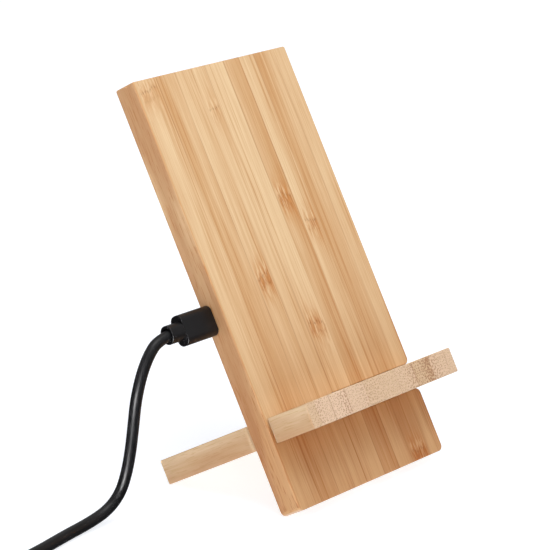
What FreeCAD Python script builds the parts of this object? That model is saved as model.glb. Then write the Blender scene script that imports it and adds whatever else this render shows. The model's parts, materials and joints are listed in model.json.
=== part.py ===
"""Bamboo wireless charging stand: two boards in a half-lap, a charger in the leaning one, and its cable.

The boards and everything fixed to them are drawn in the board frame: X across, Y up along the leaning
board, Z out of its front face, with depth counted backwards from that face. One placement leans that
frame back and stands it on the floor. The cable's loose parts are drawn straight in the part's frame.
"""
import FreeCAD, Part
import math
import os

from FreeCAD import Placement, Rotation, Vector
import Sketcher

DOC = FreeCAD.newDocument("charging_stand")
X_AXIS = Vector(1, 0, 0)
Y_AXIS = Vector(0, 1, 0)
Z_AXIS = Vector(0, 0, 1)

# ---------------------------------------------------------------- driving dimensions, millimetres

DRIVING_SIZES = {
    # the two boards
    "board_width": 82.0,
    "board_length": 156.0,
    "board_thickness": 9.0,
    "shelf_height": 24.2,      # along the leaning board, from its foot to the shelf's underside
    "ledge_reach": 19.7,       # shelf in front of the leaning board
    "leg_reach": 45.3,         # shelf behind the leaning board
    "lap_offset": 3.5,         # the half-lap ends this far left of the middle
    "lap_gap": 0.4,            # between the two lap ends
    "slot_gap_below": 0.15,
    "slot_gap_above": 0.03,
    "cheek_gap": 0.2,          # each side of the leaning board in the shelf's notch
    "edge_ease": 0.5,
    "foot_round": 2.2,
    "top_round": 0.8,
    "ledge_round": 0.6,
    "leg_round": 1.2,          # upper and lower edge of the leg's end
    "leg_extra": 0.53,         # length that brings the rounder leg end back down to the floor
    # charger pocket, milled from the back
    "coil_height": 108.0,      # along the leaning board
    "front_skin": 2.4,
    "pocket_radius": 27.0,
    "bay_depth": 4.0,          # depth of the circuit bay's floor behind the front face
    "bay_left": 33.0,
    "bay_right": 18.0,
    "bay_bottom": 59.0,
    "bay_top": 84.0,
    "cover_thickness": 1.2,
    "cover_half_width": 35.0,
    "cover_bottom": 49.5,
    "cover_top": 140.5,
    "cover_round": 5.0,
    "cover_gap": 0.1,
    "screw_inset": 4.5,
    "screw_radius": 1.0,
    "screw_head_radius": 1.9,
    "screw_head_depth": 0.9,
    "screw_length": 5.6,
    # coil stack
    "coil_inner": 10.5,
    "coil_turn_pitch": 1.05,
    "coil_wire_radius": 0.55,
    "adhesive_thickness": 0.15,
    "ferrite_radius": 25.0,
    "ferrite_thickness": 1.0,
    "foam_radius": 21.0,
    # circuit board and socket
    "circuit_depth": 4.6,      # front of the circuit board behind the front face
    "circuit_thickness": 1.0,
    "circuit_left": 32.7,
    "circuit_right": 13.0,
    "circuit_height": 20.0,
    "tongue_end": 40.4,
    "tongue_width": 7.8,
    "socket_height": 71.1,     # along the leaning board
    "socket_width": 7.6,
    "socket_thick": 2.6,
    "socket_wall": 0.25,
    "socket_mouth": 40.7,
    "socket_length": 5.2,
    "port_width": 8.2,
    "port_front": 4.5,
    "port_back": 8.35,
    # plug in the socket
    "plug_gap": 0.1,
    "plug_width": 6.85,
    "plug_thick": 1.85,
    "plug_wall": 0.2,
    "plug_length": 4.5,
    "boot_width": 10.8,
    "boot_thick": 5.4,
    "boot_round": 2.3,
    "boot_length": 15.5,
    "neck_width": 6.6,
    "neck_thick": 5.4,
    "neck_length": 6.5,
    "neck_bore": 2.3,
    "neck_bore_depth": 1.6,
    # cable and its other end
    "cord_diameter": 4.0,
    "usb_boot_length": 20.0,
    "usb_boot_width": 15.4,
    "usb_boot_thick": 7.8,
    "usb_boot_round": 1.8,
    "usb_neck_length": 9.0,
    "usb_neck_radius": 3.1,
    "usb_neck_tip_radius": 2.4,
    "usb_shell_width": 12.0,
    "usb_shell_thick": 4.5,
    "usb_shell_wall": 0.3,
    "usb_shell_length": 11.8,
    "usb_shell_round": 0.45,
    "usb_shell_inner_round": 0.25,
    "usb_tongue_thick": 1.9,
    "usb_tongue_recess": 0.6,
    "usb_tongue_clear": 0.3,
}


def make_sheet():
    sheet = DOC.addObject("Spreadsheet::Sheet", "Sizes")
    for row, (alias, value) in enumerate(DRIVING_SIZES.items(), start=1):
        sheet.set(f"A{row}", alias)
        sheet.set(f"B{row}", str(value))
        sheet.setAlias(f"B{row}", alias)
    DOC.recompute()
    return sheet


class Size:
    """A length that carries both its number and the sheet expression it comes from."""

    def __init__(self, number, text):
        self.number = number
        self.text = text

    def __add__(self, other):
        other = as_size(other)
        return Size(self.number + other.number, f"({self.text} + {other.text})")

    def __sub__(self, other):
        other = as_size(other)
        return Size(self.number - other.number, f"({self.text} - {other.text})")

    def __radd__(self, other):
        return as_size(other) + self

    def __rsub__(self, other):
        return as_size(other) - self

    def __mul__(self, factor):
        return Size(self.number * factor, f"({self.text} * {factor})")

    def __truediv__(self, divisor):
        return Size(self.number / divisor, f"({self.text} / {divisor})")

    def __neg__(self):
        return Size(-self.number, f"(0 - {self.text})")


def as_size(value):
    return value if isinstance(value, Size) else Size(float(value), str(float(value)))


def size(alias):
    return Size(float(SHEET.get(alias)), f"Sizes.{alias}")


def bind(obj, prop, value):
    obj.setExpression(prop, as_size(value).text)


# ---------------------------------------------------------------- ways to build a sub-part

NODES = []


def finish_node(obj, label, placement):
    """Name a sub-part and put it where it belongs."""
    obj.Label = label
    obj.Placement = placement
    NODES.append(obj)
    return obj


def box(name, low, high):
    """A block between two corners of the drawing frame."""
    block = DOC.addObject("Part::Box", name)
    for prop, first, last in zip(("Length", "Width", "Height"), low, high):
        bind(block, prop, as_size(last) - first)
    for axis, first in zip("xyz", low):
        bind(block, "Placement.Base." + axis, first)
    return block


def disc(name, centre, low, high, radius):
    """A cylinder along Z."""
    cylinder = DOC.addObject("Part::Cylinder", name)
    bind(cylinder, "Radius", radius)
    bind(cylinder, "Height", as_size(high) - low)
    for axis, value in zip("xyz", (*centre, low)):
        bind(cylinder, "Placement.Base." + axis, value)
    return cylinder


def cut(name, base, tool):
    result = DOC.addObject("Part::Cut", name)
    result.Base = base
    result.Tool = tool
    return result


def common(name, base, tool):
    result = DOC.addObject("Part::Common", name)
    result.Base = base
    result.Tool = tool
    return result


def fuse(name, pieces):
    result = DOC.addObject("Part::MultiFuse", name)
    result.Shapes = pieces
    return result


def group(name, pieces):
    """Separate solids that share one node."""
    result = DOC.addObject("Part::Compound", name)
    result.Links = pieces
    return result


def rounded(name, base, radius, direction):
    """Fillet the straight edges of a block that run along one direction."""
    DOC.recompute()
    radius = as_size(radius)
    result = DOC.addObject("Part::Fillet", name)
    result.Base = base
    result.Edges = [(index, radius.number, radius.number)
                    for index, edge in enumerate(base.Shape.Edges, start=1)
                    if runs_along(edge, direction)]
    return result


def runs_along(edge, direction):
    """True for a straight edge that is parallel to a direction."""
    if not isinstance(edge.Curve, Part.Line):
        return False
    return abs(edge.tangentAt(edge.FirstParameter).dot(direction)) > 0.999


def new_body(name):
    return DOC.addObject("PartDesign::Body", name)


def sketch_on(body, name, plane_role, offset=0.0):
    """An empty sketch on one of the body's own origin planes, moved along its normal."""
    sketch = body.newObject("Sketcher::SketchObject", name)
    plane = [item for item in body.Origin.OriginFeatures if item.Role == plane_role][0]
    sketch.AttachmentSupport = [(plane, "")]
    sketch.MapMode = "FlatFace"
    bind(sketch, "AttachmentOffset.Base.z", offset)
    return sketch


def draw_outline(sketch, corners):
    """A closed outline of straight lines whose corners are bound to the sheet."""
    points = [(as_size(x), as_size(y)) for x, y in corners]
    first = sketch.GeometryCount
    count = len(points)
    for (x0, y0), (x1, y1) in zip(points, points[1:] + points[:1]):
        start = Vector(x0.number, y0.number, 0)
        sketch.addGeometry(Part.LineSegment(start, Vector(x1.number, y1.number, 0)), False)
    for index, (x, y) in enumerate(points):
        line = first + index
        following = first + (index + 1) % count
        sketch.addConstraint(Sketcher.Constraint("Coincident", line, 2, following, 1))
        for kind, value in (("DistanceX", x), ("DistanceY", y)):
            place = sketch.addConstraint(Sketcher.Constraint(kind, -1, 1, line, 1, value.number))
            bind(sketch, f"Constraints[{place}]", value)


def draw_circle(sketch, centre, radius):
    x, y = (as_size(value) for value in centre)
    line = sketch.addGeometry(Part.Circle(Vector(x.number, y.number, 0), Z_AXIS, radius.number), False)
    for kind, value in (("DistanceX", x), ("DistanceY", y)):
        place = sketch.addConstraint(Sketcher.Constraint(kind, -1, 1, line, 3, value.number))
        bind(sketch, f"Constraints[{place}]", value)
    place = sketch.addConstraint(Sketcher.Constraint("Radius", line, radius.number))
    bind(sketch, f"Constraints[{place}]", radius)


def rectangle(left, right, bottom, top):
    return [(left, bottom), (right, bottom), (right, top), (left, top)]


def pad(body, name, sketch, length, backwards=False):
    feature = body.newObject("PartDesign::Pad", name)
    feature.Profile = sketch
    feature.Reversed = backwards
    bind(feature, "Length", length)
    DOC.recompute()
    return feature


def pocket(body, name, sketch, length, with_normal=False):
    """Cut a pocket and make sure that it takes material away."""
    before = body.Shape.Volume
    feature = body.newObject("PartDesign::Pocket", name)
    feature.Profile = sketch
    feature.Reversed = with_normal
    feature.Refine = False
    bind(feature, "Length", length)
    DOC.recompute()
    if body.Shape.Volume > before - 1e-3:
        raise RuntimeError(f"{name} cuts nothing")
    return feature


def fillet(body, name, radius, wanted):
    """Round the edges of the body's shape that pass a test."""
    base = body.Tip
    names = [f"Edge{index}" for index, edge in enumerate(base.Shape.Edges, start=1) if wanted(edge)]
    feature = body.newObject("PartDesign::Fillet", name)
    feature.Base = (base, names)
    bind(feature, "Radius", radius)
    DOC.recompute()
    return feature


def middle_of(edge):
    return edge.valueAt((edge.FirstParameter + edge.LastParameter) / 2)


def lies_in(edge, axis, value):
    """True for an edge that stays on the plane where one coordinate has a value."""
    ends = (edge.BoundBox.XMin, edge.BoundBox.YMin, edge.BoundBox.ZMin)
    tops = (edge.BoundBox.XMax, edge.BoundBox.YMax, edge.BoundBox.ZMax)
    return abs(ends[axis] - value) < 1e-3 and abs(tops[axis] - value) < 1e-3


# ---------------------------------------------------------------- the frame that the boards share

SHEET = make_sheet()
HALF_WIDTH = size("board_width") / 2
THICKNESS = size("board_thickness")
LENGTH = size("board_length")
SHELF_LOW = size("shelf_height")
SHELF_HIGH = SHELF_LOW + THICKNESS
SLOT_LOW = SHELF_LOW - size("slot_gap_below")
SLOT_HIGH = SHELF_HIGH + size("slot_gap_above")
LAP = -size("lap_offset")


def board_placement():
    """Lean the board frame back until both boards stand on the floor, and centre the stand on it."""
    lean = math.atan2(SHELF_LOW.number, size("leg_reach").number)
    ease = size("edge_ease").number
    thickness = THICKNESS.number

    def backward(height, depth):
        return height * math.sin(lean) + (depth - thickness) * math.cos(lean)

    front = backward(SHELF_LOW.number + ease, ease - size("ledge_reach").number) - ease
    back = backward(LENGTH.number - ease, thickness - ease) + ease
    lowest = ease * (math.sin(lean) + math.cos(lean) - 1)
    turn = Rotation(X_AXIS, 90 - math.degrees(lean))
    heel = turn.multVec(Vector(0, 0, -thickness))
    return Placement(Vector(0, -(front + back) / 2, -lowest) - heel, turn)


BOARD = board_placement()


# ---------------------------------------------------------------- the two bamboo boards

def charging_panel():
    """Leaning board: slot from the right edge, stepped charger pocket behind, port in the left side."""
    body = new_body("panel_blank")
    lower = sketch_on(body, "lower_outline", "XY_Plane")
    draw_outline(lower, [(-HALF_WIDTH, 0), (HALF_WIDTH, 0), (HALF_WIDTH, SLOT_LOW),
                         (LAP - size("lap_gap"), SLOT_LOW), (LAP - size("lap_gap"), SLOT_HIGH),
                         (-HALF_WIDTH, SLOT_HIGH)])
    pad(body, "lower_board", lower, THICKNESS, backwards=True)
    upper = sketch_on(body, "upper_outline", "XY_Plane")
    draw_outline(upper, rectangle(-HALF_WIDTH, HALF_WIDTH, SLOT_HIGH, LENGTH))
    pad(body, "upper_board", upper, THICKNESS, backwards=True)

    right = HALF_WIDTH.number
    feet = (0.0, SLOT_LOW.number, SLOT_HIGH.number)

    def is_foot_corner(edge):
        spot = middle_of(edge)
        at_side = abs(abs(spot.x) - right) < 1e-3
        at_left_slot = spot.x < 0 and spot.y > 1
        return (runs_along(edge, Z_AXIS) and at_side and not at_left_slot
                and min(abs(spot.y - foot) for foot in feet) < 1e-3)

    fillet(body, "foot_corners", size("foot_round"), is_foot_corner)
    fillet(body, "top_corners", size("top_round"),
           lambda edge: runs_along(edge, Z_AXIS) and abs(middle_of(edge).y - LENGTH.number) < 1e-3)

    def is_rim(edge):
        on_face = lies_in(edge, 2, 0.0) or lies_in(edge, 2, -THICKNESS.number)
        inner_seam = lies_in(edge, 1, SLOT_HIGH.number) and middle_of(edge).x < LAP.number
        return on_face and not inner_seam

    fillet(body, "eased_edges", size("edge_ease"), is_rim)

    recess = sketch_on(body, "cover_outline", "XY_Plane", -THICKNESS)
    draw_outline(recess, rectangle(-size("cover_half_width"), size("cover_half_width"),
                                   size("cover_bottom"), size("cover_top")))
    pocket(body, "cover_recess", recess, size("cover_thickness"), with_normal=True)
    fillet(body, "recess_corners", size("cover_round"), lambda edge: (
        runs_along(edge, Z_AXIS)
        and abs(abs(middle_of(edge).x) - size("cover_half_width").number) < 1e-3
        and abs(edge.Length - size("cover_thickness").number) < 1e-3))
    bay = sketch_on(body, "bay_outline", "XY_Plane", -THICKNESS)
    draw_outline(bay, rectangle(-size("bay_left"), size("bay_right"), size("bay_bottom"), size("bay_top")))
    pocket(body, "circuit_bay", bay, THICKNESS - size("bay_depth"), with_normal=True)
    well = sketch_on(body, "well_outline", "XY_Plane", -THICKNESS)
    draw_circle(well, (0, size("coil_height")), size("pocket_radius"))
    pocket(body, "coil_well", well, THICKNESS - size("front_skin"), with_normal=True)
    port = sketch_on(body, "port_outline", "YZ_Plane", -HALF_WIDTH)
    half_port = size("port_width") / 2
    draw_outline(port, rectangle(size("socket_height") - half_port, size("socket_height") + half_port,
                                 -size("port_back"), -size("port_front")))
    pocket(body, "port", port, HALF_WIDTH - size("bay_left"), with_normal=True)
    pilots = sketch_on(body, "pilot_outline", "XY_Plane", -THICKNESS)
    for spot in screw_spots():
        draw_circle(pilots, spot, size("screw_radius"))
    pocket(body, "pilot_holes", pilots, size("screw_length"), with_normal=True)
    # The front face is divided at the slot: the part above it is the charging face.
    above = box("charging_zone", (-HALF_WIDTH - 1, SLOT_HIGH, -THICKNESS - 1),
                (HALF_WIDTH + 1, LENGTH + 1, 1))
    halves = [common("panel_above", body, above), cut("panel_below", body, above)]
    whole = fuse("panel_faces", halves)
    whole.Refine = False
    return finish_node(whole, "charging_panel", BOARD)


def screw_spots():
    inset = size("screw_inset")
    across = size("cover_half_width") - inset
    heights = (size("cover_bottom") + inset, size("cover_top") - inset)
    return [(side, height) for side in (-across, across) for height in heights]


def shelf_plate():
    """Second board, square to the first: phone ledge in front, leg behind, notch from the left edge."""
    body = new_body("shelf_blank")
    outline = sketch_on(body, "shelf_outline", "XZ_Plane", -SHELF_HIGH)
    front = size("ledge_reach")
    back = -(THICKNESS + size("leg_reach") + size("leg_extra"))
    notch_front = size("cheek_gap")
    notch_back = -(THICKNESS + size("cheek_gap"))
    draw_outline(outline, [(-HALF_WIDTH, front), (-HALF_WIDTH, notch_front), (LAP, notch_front),
                           (LAP, notch_back), (-HALF_WIDTH, notch_back), (-HALF_WIDTH, back),
                           (HALF_WIDTH, back), (HALF_WIDTH, front)])
    pad(body, "shelf_board", outline, THICKNESS)

    def is_upright(edge, depths):
        spot = middle_of(edge)
        at_side = abs(abs(spot.x) - HALF_WIDTH.number) < 1e-3
        return runs_along(edge, Y_AXIS) and at_side and min(abs(spot.z - depth) for depth in depths) < 1e-3

    fillet(body, "foot_corners", size("foot_round"),
           lambda edge: is_upright(edge, (back.number, notch_front.number, notch_back.number)))
    fillet(body, "ledge_corners", size("ledge_round"), lambda edge: is_upright(edge, (front.number,)))
    fillet(body, "eased_edges", size("edge_ease"),
           lambda edge: lies_in(edge, 1, SHELF_LOW.number) or lies_in(edge, 1, SHELF_HIGH.number))
    envelope = box("leg_envelope", (-HALF_WIDTH - 1, SHELF_LOW, back),
                   (HALF_WIDTH + 1, SHELF_HIGH, front + 1))
    DOC.recompute()
    leg_end = DOC.addObject("Part::Fillet", "leg_end")
    leg_end.Base = envelope
    leg_end.Edges = [(index, size("leg_round").number, size("leg_round").number)
                     for index, edge in enumerate(envelope.Shape.Edges, start=1)
                     if lies_in(edge, 2, back.number) and runs_along(edge, X_AXIS)]
    return finish_node(common("shelf_whole", body, leg_end), "shelf_plate", BOARD)


# ---------------------------------------------------------------- what closes and fills the pocket

def rear_cover():
    """Moulded plate let into the back of the leaning board, with countersunk holes."""
    body = new_body("cover_blank")
    gap = size("cover_gap")
    outline = sketch_on(body, "plate_outline", "XY_Plane", -THICKNESS)
    draw_outline(outline, rectangle(gap - size("cover_half_width"), size("cover_half_width") - gap,
                                    size("cover_bottom") + gap, size("cover_top") - gap))
    pad(body, "plate", outline, size("cover_thickness"))
    fillet(body, "plate_corners", size("cover_round") - gap, lambda edge: runs_along(edge, Z_AXIS))
    holes = sketch_on(body, "hole_outline", "XY_Plane", -THICKNESS)
    for spot in screw_spots():
        draw_circle(holes, spot, size("screw_radius"))
    pocket(body, "screw_holes", holes, size("cover_thickness"), with_normal=True)
    heads = [screw_head(f"countersink_{index}", spot) for index, spot in enumerate(screw_spots())]
    return finish_node(cut("cover_cut", body, fuse("countersinks", heads)), "rear_cover", BOARD)


def screw_head(name, spot):
    """The cone of a countersunk head, wide end flush with the back of the board."""
    head = DOC.addObject("Part::Cone", name)
    bind(head, "Radius1", size("screw_head_radius"))
    bind(head, "Radius2", size("screw_radius"))
    bind(head, "Height", size("screw_head_depth"))
    for axis, value in zip("xyz", (*spot, -THICKNESS)):
        bind(head, "Placement.Base." + axis, value)
    return head


SLOT_ARM_SHARE = 0.9       # of the screw's radius
SLOT_HALF_SHARE = 0.2
SLOT_DEPTH_SHARE = 0.55    # of the head's depth


def cover_screws():
    """Four countersunk screws with crossed slots, heads flush with the cover."""
    pieces = []
    head_depth = size("screw_head_depth")
    radius = size("screw_radius")
    for index, (x, y) in enumerate(screw_spots()):
        shank = disc(f"screw_shank_{index}", (x, y), -THICKNESS + head_depth,
                     -THICKNESS + size("screw_length"), radius)
        head = screw_head(f"screw_head_{index}", (x, y))
        arm = radius * SLOT_ARM_SHARE
        thin = radius * SLOT_HALF_SHARE
        floor = -THICKNESS + head_depth * SLOT_DEPTH_SHARE
        slots = [box(f"screw_slot_{index}_{turn}", (x - long, y - short, -THICKNESS - CUT_OVER),
                     (x + long, y + short, floor))
                 for turn, (long, short) in enumerate(((arm, thin), (thin, arm)))]
        whole = fuse(f"screw_blank_{index}", [shank, head])
        pieces.append(cut(f"screw_{index}", whole, fuse(f"screw_cross_{index}", slots)))
    return finish_node(group("cover_screws", pieces), "cover_screws", BOARD)


CUT_OVER = 0.1             # how far a cutting tool reaches past what it cuts
COIL_TURNS = 12
ADHESIVE_MARGIN = 0.5
COIL_FLOOR = -(size("front_skin") + size("adhesive_thickness"))
COIL_BACK = COIL_FLOOR - size("coil_wire_radius") * 2
FERRITE_BACK = COIL_BACK - size("ferrite_thickness")
COVER_INSIDE = size("cover_thickness") - THICKNESS
COIL_OUTER = size("coil_inner") + size("coil_turn_pitch") * COIL_TURNS


def ring(name, outer, inner, low, high):
    centre = (0, size("coil_height"))
    return cut(name, disc(name + "_outer", centre, low, high, outer),
               disc(name + "_inner", centre, low - CUT_OVER, high + CUT_OVER, inner))


def coil_stack():
    """Adhesive ring, flat winding, ferrite and foam, from the well's floor back to the cover."""
    inner_turn = size("coil_inner") + size("coil_turn_pitch") / 2
    film = ring("adhesive_ring", COIL_OUTER - ADHESIVE_MARGIN, size("coil_inner") + ADHESIVE_MARGIN,
                COIL_FLOOR, -size("front_skin"))
    finish_node(film, "coil_adhesive", BOARD)
    turns = []
    for index in range(COIL_TURNS):
        turn = DOC.addObject("Part::Torus", f"coil_turn_{index}")
        bind(turn, "Radius1", inner_turn + size("coil_turn_pitch") * index)
        bind(turn, "Radius2", size("coil_wire_radius"))
        for axis, value in zip("xyz", (0, size("coil_height"), COIL_FLOOR - size("coil_wire_radius"))):
            bind(turn, "Placement.Base." + axis, value)
        turns.append(turn)
    finish_node(fuse("transmit_coil", turns), "transmit_coil", BOARD)
    centre = (0, size("coil_height"))
    finish_node(group("ferrite_group", [disc("ferrite_disc", centre, FERRITE_BACK, COIL_BACK,
                                             size("ferrite_radius"))]), "ferrite_shield", BOARD)
    finish_node(group("foam_group", [disc("foam_disc", centre, COVER_INSIDE, FERRITE_BACK,
                                          size("foam_radius"))]), "foam_pad", BOARD)


# ---------------------------------------------------------------- circuit board and what is on it

CIRCUIT_FRONT = -size("circuit_depth")
CIRCUIT_BACK = CIRCUIT_FRONT - size("circuit_thickness")
CIRCUIT_LOW = size("socket_height") - size("circuit_height") / 2
CIRCUIT_HIGH = size("socket_height") + size("circuit_height") / 2
TAPE_MARGIN = 2


def circuit_board():
    """Board with a narrow tongue that carries the socket into the port."""
    body = new_body("circuit_board")
    outline = sketch_on(body, "circuit_outline", "XY_Plane", CIRCUIT_BACK)
    low_tongue = size("socket_height") - size("tongue_width") / 2
    high_tongue = size("socket_height") + size("tongue_width") / 2
    left = -size("circuit_left")
    tip = -size("tongue_end")
    right = size("circuit_right")
    draw_outline(outline, [(left, CIRCUIT_LOW), (right, CIRCUIT_LOW), (right, CIRCUIT_HIGH),
                           (left, CIRCUIT_HIGH), (left, high_tongue), (tip, high_tongue),
                           (tip, low_tongue), (left, low_tongue)])
    pad(body, "board", outline, size("circuit_thickness"))
    finish_node(body, "circuit_board", BOARD)
    tape = box("tape_block", (left + TAPE_MARGIN, CIRCUIT_LOW + TAPE_MARGIN, CIRCUIT_FRONT),
               (right - TAPE_MARGIN, CIRCUIT_HIGH - TAPE_MARGIN, -size("bay_depth")))
    finish_node(group("tape_group", [tape]), "board_tape", BOARD)


def on_board(name, across, along, sizes):
    """A block that sits on the board's back, centred (across, along) from the socket's height line."""
    length, width, height = sizes
    x = as_size(across)
    y = size("socket_height") + along
    return box(name, (x - length / 2, y - width / 2, CIRCUIT_BACK - height),
               (x + length / 2, y + width / 2, CIRCUIT_BACK))


CORNER_SHARE = 0.08    # rounding of a component's upright edges, as a share of its height
LEAST_CORNER = 0.04
CAPACITOR = (1.6, 0.8, 0.8)
RESISTOR = (1.0, 0.5, 0.35)


def board_components():
    """Chips, capacitors, resistors, inductor and light, each kind in its own node."""
    kinds = {
        "controller_chip": [(-14.0, 0.0, (5.0, 5.0, 0.85))],
        "power_transistors": [(-4.5, side * 4.2, (3.3, 3.3, 0.9)) for side in (-1, 1)],
        "resonant_capacitors": [(9.0, -7.2 + 4.8 * row, (3.2, 2.5, 1.6)) for row in range(4)],
        "filter_inductor": [(-24.5, 5.8, (4.0, 4.0, 1.9))],
        "status_led": [(-29.5, -8.2, (1.6, 0.8, 0.6))],
        "bypass_capacitors": [(-21.0 + 2.6 * column, -7.6, CAPACITOR) for column in range(5)]
                             + [(1.6, -6.0 + 3.0 * row, CAPACITOR) for row in range(5)],
        "chip_resistors": [(-19.5 + 2.2 * column, 8.4, RESISTOR) for column in range(7)]
                          + [(-27.5, -6.5 + 1.8 * row, RESISTOR) for row in range(4)],
    }
    for kind, places in kinds.items():
        blocks = []
        for index, (across, along, sizes) in enumerate(places):
            block = on_board(f"{kind}_{index}", across, along, sizes)
            corner = CORNER_SHARE * sizes[2] + LEAST_CORNER
            blocks.append(rounded(f"{kind}_{index}_body", block, corner, Z_AXIS))
        finish_node(group(kind, blocks), kind, BOARD)


def micro_block(name, width, thick, start, end, shoulder):
    """A bar along X with the micro-B outline: two corners on the front side are cut at 45 degrees."""
    body = new_body(name)
    sketch = sketch_on(body, name + "_outline", "YZ_Plane", start)
    middle = size("socket_height")
    axis = SOCKET_AXIS
    half = width / 2
    draw_outline(sketch, [(middle - half, axis - thick / 2), (middle + half, axis - thick / 2),
                          (middle + half, axis + thick / 2 - shoulder),
                          (middle + half - shoulder, axis + thick / 2),
                          (middle - half + shoulder, axis + thick / 2),
                          (middle - half, axis + thick / 2 - shoulder)])
    pad(body, name + "_bar", sketch, as_size(end) - start)
    return body


SOCKET_AXIS = CIRCUIT_BACK - size("socket_thick") / 2
SHOULDER = 0.7
PLUG_SHOULDER = 0.56
BACKING_LENGTH = 0.6          # insulator behind the socket's blade
PLUG_BACKING_LENGTH = 0.9
BLADE_HALF_WIDTH = 1.85
PLUG_BLADE_HALF_WIDTH = 1.9
BLADE_SETBACK = 0.9           # behind the socket's mouth
PLUG_BLADE_SETBACK = 0.3      # behind the plug's tip
BLADE_LOW = 0.1               # from the socket's axis towards the front face and away from it
BLADE_HIGH = 0.4
PLUG_BLADE_THICKNESS = 0.3
CONTACTS = 5
CONTACT_PITCH = 0.65
CONTACT_HALF_WIDTH = 0.2
PLUG_CONTACT_HALF_WIDTH = 0.18
CONTACT_THICKNESS = 0.1
PLUG_CONTACT_THICKNESS = 0.08
CONTACT_SETBACK = 1.1
PLUG_CONTACT_SETBACK = 0.5


def contact_row(name, start, end, low, high, half_width):
    """A row of five contacts side by side along the board's height."""
    blocks = []
    for index in range(CONTACTS):
        middle = size("socket_height") + CONTACT_PITCH * (index - (CONTACTS - 1) / 2)
        blocks.append(box(f"{name}_{index}", (start, middle - half_width, low),
                          (end, middle + half_width, high)))
    return group(name + "_row", blocks)


def usb_socket():
    """Receptacle on the board's tongue: steel shell, insulator with its tongue, five contacts."""
    mouth = -size("socket_mouth")
    back = mouth + size("socket_length")
    wall = size("socket_wall")
    width = size("socket_width")
    thick = size("socket_thick")
    outer = micro_block("socket_outside", width, thick, mouth, back, SHOULDER)
    inner = micro_block("socket_inside", width - wall * 2, thick - wall * 2, mouth - CUT_OVER,
                        back + CUT_OVER, SHOULDER)
    finish_node(cut("socket_cut", outer, inner), "socket_shell", BOARD)
    blade_end = back - BACKING_LENGTH
    backing = micro_block("socket_backing", width - wall * 2, thick - wall * 2, blade_end, back, SHOULDER)
    middle = size("socket_height")
    low = SOCKET_AXIS - BLADE_LOW
    tongue = box("socket_blade", (mouth + BLADE_SETBACK, middle - BLADE_HALF_WIDTH, low),
                 (blade_end, middle + BLADE_HALF_WIDTH, SOCKET_AXIS + BLADE_HIGH))
    finish_node(fuse("socket_insulator", [backing, tongue]), "socket_tongue", BOARD)
    contacts = contact_row("socket_contact", mouth + CONTACT_SETBACK, blade_end,
                           low - CONTACT_THICKNESS, low, CONTACT_HALF_WIDTH)
    finish_node(contacts, "socket_contacts", BOARD)


# ---------------------------------------------------------------- paths of arcs and straight runs

ARC_SHARE = 0.45
SHORTEST_TURN = math.radians(0.5)


def rounded_path(points):
    """Straight runs joined by tangent arcs, each as large as its two runs allow."""
    edges = []
    radii = []
    start = points[0]
    for before, corner, after in zip(points, points[1:], points[2:]):
        arriving = (corner - before).normalize()
        leaving = (after - corner).normalize()
        half_turn = arriving.getAngle(leaving) / 2
        if half_turn < SHORTEST_TURN / 2:
            raise RuntimeError("three points of a route are in line")
        reach = ARC_SHARE * min(corner.distanceToPoint(before), corner.distanceToPoint(after))
        radius = reach / math.tan(half_turn)
        inward = (leaving - arriving).normalize()
        centre = corner + inward * (radius / math.cos(half_turn))
        first = corner - arriving * reach
        last = corner + leaving * reach
        edges.append(Part.LineSegment(start, first).toShape())
        edges.append(Part.Arc(first, centre - inward * radius, last).toShape())
        radii.append(radius)
        start = last
    edges.append(Part.LineSegment(start, points[-1]).toShape())
    return Part.Wire(edges), radii


def tube(name, points, diameter):
    """A round tube along a path, checked against its section times its length."""
    path, radii = rounded_path(points)
    circle = Part.Circle(points[0], points[1] - points[0], diameter / 2)
    solid = path.makePipeShell([Part.Wire(circle.toShape())], True, False)
    expected = math.pi * diameter ** 2 / 4 * path.Length
    if abs(solid.Volume / expected - 1) > 0.01:
        raise RuntimeError(f"{name}: volume {solid.Volume:.0f}, expected {expected:.0f}")
    print(f"{name}: {path.Length:.1f} mm long, arc radii",
          " ".join(f"{radius:.1f}" for radius in radii))
    feature = DOC.addObject("Part::Feature", name)
    feature.Shape = solid
    return feature, path.Length


LEAD_DIAMETER = 0.9
LEAD_PLACES = (3.0, 5.6)
LEAD_CLEARANCE = 0.1
# how far below the winding's edge a lead bends, bends back and ends
LEAD_BENDS = (2.1, 3.0, 7.0)


def coil_leads():
    """Two sleeved wires from the winding's edge, under the ferrite and up onto the circuit board."""
    wires = []
    edge = size("coil_height").number - COIL_OUTER.number
    wire_depth = COIL_FLOOR.number - LEAD_DIAMETER / 2
    pad_depth = CIRCUIT_BACK.number - LEAD_DIAMETER / 2 - LEAD_CLEARANCE
    bend, back_bend, end = LEAD_BENDS
    for index, x in enumerate(LEAD_PLACES):
        points = [Vector(x, edge, wire_depth), Vector(x, edge - bend, wire_depth),
                  Vector(x, edge - back_bend, pad_depth), Vector(x, edge - end, pad_depth)]
        wires.append(tube(f"coil_lead_{index}", points, LEAD_DIAMETER)[0])
    return finish_node(group("coil_leads", wires), "coil_leads", BOARD)


# ---------------------------------------------------------------- the plug in the socket

BOOT_FACE = -(HALF_WIDTH + size("plug_gap"))
BOOT_END = BOOT_FACE - size("boot_length")
NECK_END = BOOT_END - size("neck_length")
BOOT_END_ROUND = 0.35
NECK_END_ROUND = 0.3
NECK_FLAT = 0.1            # flat left between the neck's two side roundings


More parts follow.
